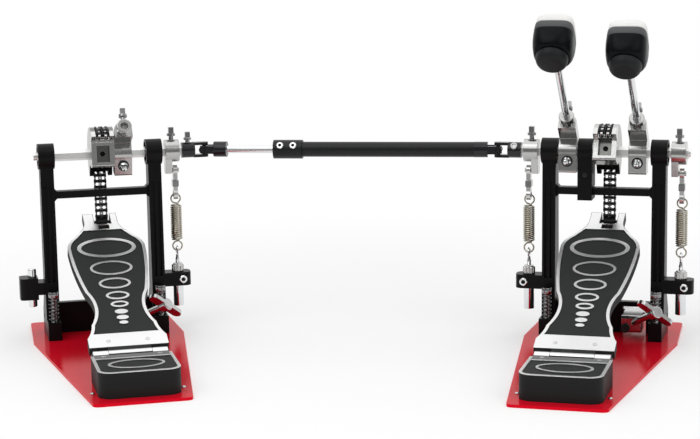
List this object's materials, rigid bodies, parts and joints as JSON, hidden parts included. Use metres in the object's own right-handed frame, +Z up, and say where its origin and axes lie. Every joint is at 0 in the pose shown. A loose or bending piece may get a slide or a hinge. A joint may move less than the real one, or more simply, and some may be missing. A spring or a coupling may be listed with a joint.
{
  "type": "double bass drum pedal",
  "caption": "Double bass drum pedal: two chain-drive footboard pedals on base plates, joined by a telescopic universal-joint shaft that drives the second beater.",
  "frame": {"origin": "on the floor under the middle of the primary pedal's shaft", "axes": "+X to the drummer's right along the primary shaft, +Y towards the drum, +Z up"},
  "size_m": [0.7103, 0.4477, 0.3419],
  "materials": {
    "red_enamel": "gloss red enamel",
    "black_casting": "satin black paint on a casting",
    "chrome": "polished chrome",
    "board": "polished rim and treads round a dark grey field",
    "black_chrome": "polished black chrome",
    "black_plastic": "gloss black plastic with a pale felt pad",
    "steel": "bright steel"
  },
  "bodies": {
    "primary_stand": {"primary_base_plate": "red_enamel", "primary_frame": "black_casting", "primary_center_support": "black_casting", "primary_bearings": "steel", "primary_heel_plate": "black_casting", "primary_heel_hinge": "chrome", "primary_tensioners": "steel", "primary_spurs": "steel"},
    "primary_axle": {"primary_shaft": "steel", "primary_sprocket": "steel", "primary_chain_wrap": "black_chrome", "primary_beater_hub": "steel", "primary_rocker": "steel", "primary_shaft_screws": "chrome"},
    "primary_beater": {"primary_beater_rod": "chrome", "primary_beater_head": "black_plastic"},
    "slave_axle": {"slave_shaft": "steel", "slave_beater_hub": "steel", "slave_rocker": "steel", "slave_shaft_screws": "chrome", "slave_yoke": "black_chrome"},
    "slave_beater": {"slave_beater_rod": "chrome", "slave_beater_head": "black_plastic"},
    "primary_board": {"primary_footboard": "board"},
    "primary_strand": {"primary_chain_strand": "black_chrome"},
    "primary_tag": {"primary_swivel": "steel"},
    "slave_tag": {"slave_swivel": "steel"},
    "primary_coil": {"primary_spring": "steel"},
    "slave_coil": {"slave_spring": "steel"},
    "primary_jaw": {"primary_clamp_jaw": "chrome"},
    "primary_wing": {"primary_clamp_wing": "chrome"},
    "secondary_stand": {"secondary_base_plate": "red_enamel", "secondary_frame": "black_casting", "secondary_bearings": "steel", "secondary_heel_plate": "black_casting", "secondary_heel_hinge": "chrome", "secondary_tensioners": "steel", "secondary_spurs": "steel", "secondary_anchor_clamp": "black_casting"},
    "secondary_axle": {"secondary_shaft": "steel", "secondary_sprocket": "steel", "secondary_chain_wrap": "black_chrome", "secondary_beater_hub": "steel", "secondary_rocker": "steel", "secondary_shaft_screws": "chrome", "secondary_yoke": "black_chrome"},
    "secondary_board": {"secondary_footboard": "board"},
    "secondary_strand": {"secondary_chain_strand": "black_chrome"},
    "secondary_tag": {"secondary_swivel": "steel"},
    "secondary_coil": {"secondary_spring": "steel"},
    "secondary_jaw": {"secondary_clamp_jaw": "chrome"},
    "secondary_wing": {"secondary_clamp_wing": "chrome"},
    "anchor_rod": {"secondary_anchor_rod": "chrome"},
    "anchor_wing": {"secondary_anchor_wing": "chrome"},
    "link_tube": {"link_tube": "black_chrome", "link_tube_yoke": "black_chrome"},
    "link_rod": {"link_rod": "chrome", "link_rod_yoke": "black_chrome"},
    "primary_cross": {"primary_cross": "black_chrome"},
    "secondary_cross": {"secondary_cross": "black_chrome"}
  },
  "joints": [
    {"name": "primary_stroke", "type": "hinge", "parent": "primary_stand", "child": "primary_axle", "pos_m": [0, 0, 0.195], "axis": [-1, 0, 0], "range_deg": [0, 44], "stiffness_Nm_per_rad": 0.9, "springref_deg": -40.11},
    {"name": "link_extension", "type": "slide", "parent": "primary_stand", "child": "secondary_stand", "axis": [-0.9903, -0.1392, 0], "range_m": [-0.04, 0.1]},
    {"name": "secondary_stroke", "type": "hinge", "parent": "secondary_stand", "child": "secondary_axle", "pos_m": [-0.52132, -0.09916, 0.195], "axis": [-0.8695, -0.4939, 0], "range_deg": [0, 44], "stiffness_Nm_per_rad": 1.4, "springref_deg": -40.11},
    {"name": "slave_stroke", "type": "hinge", "parent": "primary_stand", "child": "slave_axle", "pos_m": [0, 0, 0.195], "axis": [-1, 0, 0], "range_deg": [0, 42.4]},
    {"name": "primary_beater_height", "type": "slide", "parent": "primary_axle", "child": "primary_beater", "axis": [0, -0.7431, 0.6691], "range_m": [-0.012, 0.012]},
    {"name": "slave_beater_height", "type": "slide", "parent": "slave_axle", "child": "slave_beater", "axis": [0, -0.7071, 0.7071], "range_m": [-0.012, 0.012]},
    {"name": "primary_footboard_press", "type": "hinge", "parent": "primary_stand", "child": "primary_board", "pos_m": [0, -0.2095, 0.026], "axis": [-1, 0, 0], "range_deg": [0, 4.96]},
    {"name": "primary_chain_bend", "type": "hinge", "parent": "primary_axle", "child": "primary_strand", "pos_m": [0.002, 0.02374, 0.20642], "axis": [1, 0, 0], "range_deg": [0, 47.07]},
    {"name": "primary_clamp_turn", "type": "hinge", "parent": "primary_jaw", "child": "primary_wing", "pos_m": [0.031, -0.014, 0.018], "axis": [0.5872, -0.6998, 0.4067], "range_deg": [0, 360]},
    {"name": "primary_clamp_grip", "type": "hinge", "parent": "primary_stand", "child": "primary_jaw", "pos_m": [0, 0.022, 0.02], "axis": [-1, 0, 0], "range_deg": [0, 1.65]},
    {"name": "secondary_footboard_press", "type": "hinge", "parent": "secondary_stand", "child": "secondary_board", "pos_m": [-0.41784, -0.28132, 0.026], "axis": [-0.8695, -0.4939, 0], "range_deg": [0, 4.96]},
    {"name": "secondary_chain_bend", "type": "hinge", "parent": "secondary_axle", "child": "secondary_strand", "pos_m": [-0.5313, -0.07753, 0.20642], "axis": [0.8695, 0.4939, 0], "range_deg": [0, 47.07]},
    {"name": "secondary_clamp_turn", "type": "hinge", "parent": "secondary_jaw", "child": "secondary_wing", "pos_m": [-0.48745, -0.09602, 0.018], "axis": [0.8562, -0.3184, 0.4067], "range_deg": [0, 360]},
    {"name": "secondary_clamp_grip", "type": "hinge", "parent": "secondary_stand", "child": "secondary_jaw", "pos_m": [-0.53219, -0.08003, 0.02], "axis": [-0.8695, -0.4939, 0], "range_deg": [0, 1.65]},
    {"name": "primary_swivel_turn", "type": "hinge", "parent": "primary_axle", "child": "primary_tag", "pos_m": [0.0794, 0, 0.174], "axis": [1, 0, 0], "range_deg": [0, 53.12]},
    {"name": "primary_spring_pull", "type": "slide", "parent": "primary_stand", "child": "primary_coil", "axis": [0, -0.8619, 0.507], "range_m": [0, 0.01255], "deforming": ["primary_spring"]},
    {"name": "slave_swivel_turn", "type": "hinge", "parent": "slave_axle", "child": "slave_tag", "pos_m": [-0.0794, 0, 0.174], "axis": [1, 0, 0], "range_deg": [0, 51.07]},
    {"name": "slave_spring_pull", "type": "slide", "parent": "primary_stand", "child": "slave_coil", "axis": [0, -0.8711, 0.491], "range_m": [0, 0.01199], "deforming": ["slave_spring"]},
    {"name": "secondary_swivel_turn", "type": "hinge", "parent": "secondary_axle", "child": "secondary_tag", "pos_m": [-0.45228, -0.05994, 0.174], "axis": [0.8695, 0.4939, 0], "range_deg": [0, 53.12]},
    {"name": "secondary_spring_pull", "type": "slide", "parent": "secondary_stand", "child": "secondary_coil", "axis": [0.4257, -0.7494, 0.507], "range_m": [0, 0.01255], "deforming": ["secondary_spring"]},
    {"name": "link_tube_turn", "type": "hinge", "parent": "primary_stand", "child": "link_tube", "pos_m": [-0.112, 0, 0.195], "axis": [-0.9903, -0.1392, 0], "range_deg": [0, 42.12]},
    {"name": "link_rod_turn", "type": "hinge", "parent": "secondary_stand", "child": "link_rod", "pos_m": [-0.42393, -0.04384, 0.195], "axis": [-0.9903, -0.1392, 0], "range_deg": [0, 42.12]},
    {"name": "primary_cross_rock", "type": "hinge", "parent": "slave_axle", "child": "primary_cross", "pos_m": [-0.112, 0, 0.195], "axis": [0, 0, 1], "range_deg": [-1.92, 0]},
    {"name": "secondary_cross_rock", "type": "hinge", "parent": "secondary_axle", "child": "secondary_cross", "pos_m": [-0.42393, -0.04384, 0.195], "axis": [0, 0, 1], "range_deg": [0, 4.91]},
    {"name": "anchor_rod_height", "type": "slide", "parent": "secondary_stand", "child": "anchor_rod", "axis": [0, 0, 1], "range_m": [-0.028, 0.01]},
    {"name": "anchor_wing_turn", "type": "hinge", "parent": "secondary_stand", "child": "anchor_wing", "pos_m": [-0.59763, -0.11951, 0.0555], "axis": [-0.4939, 0.8695, 0], "range_deg": [-180, 180]}
  ],
  "couplings": [
    {"joint": "slave_stroke", "follows": "secondary_stroke", "ratio": 0.95906},
    {"joint": "primary_footboard_press", "follows": "primary_stroke", "ratio": 0.10823},
    {"joint": "primary_chain_bend", "follows": "primary_stroke", "ratio": 1.0652},
    {"joint": "primary_clamp_grip", "follows": "primary_clamp_turn", "ratio": 0.004444},
    {"joint": "secondary_footboard_press", "follows": "secondary_stroke", "ratio": 0.10823},
    {"joint": "secondary_chain_bend", "follows": "secondary_stroke", "ratio": 1.0652},
    {"joint": "secondary_clamp_grip", "follows": "secondary_clamp_turn", "ratio": 0.004444},
    {"joint": "primary_swivel_turn", "follows": "primary_stroke", "ratio": 1.2028},
    {"joint": "primary_spring_pull", "follows": "primary_stroke", "m_per_rad": 0.015945},
    {"joint": "slave_swivel_turn", "follows": "secondary_stroke", "ratio": 1.1562},
    {"joint": "slave_spring_pull", "follows": "secondary_stroke", "m_per_rad": 0.015223},
    {"joint": "secondary_swivel_turn", "follows": "secondary_stroke", "ratio": 1.2028},
    {"joint": "secondary_spring_pull", "follows": "secondary_stroke", "m_per_rad": 0.015945},
    {"joint": "link_tube_turn", "follows": "secondary_stroke", "ratio": 0.95272},
    {"joint": "link_rod_turn", "follows": "secondary_stroke", "ratio": 0.95272},
    {"joint": "primary_cross_rock", "follows": "secondary_stroke", "ratio": -0.039},
    {"joint": "secondary_cross_rock", "follows": "secondary_stroke", "ratio": 0.107}
  ]
}
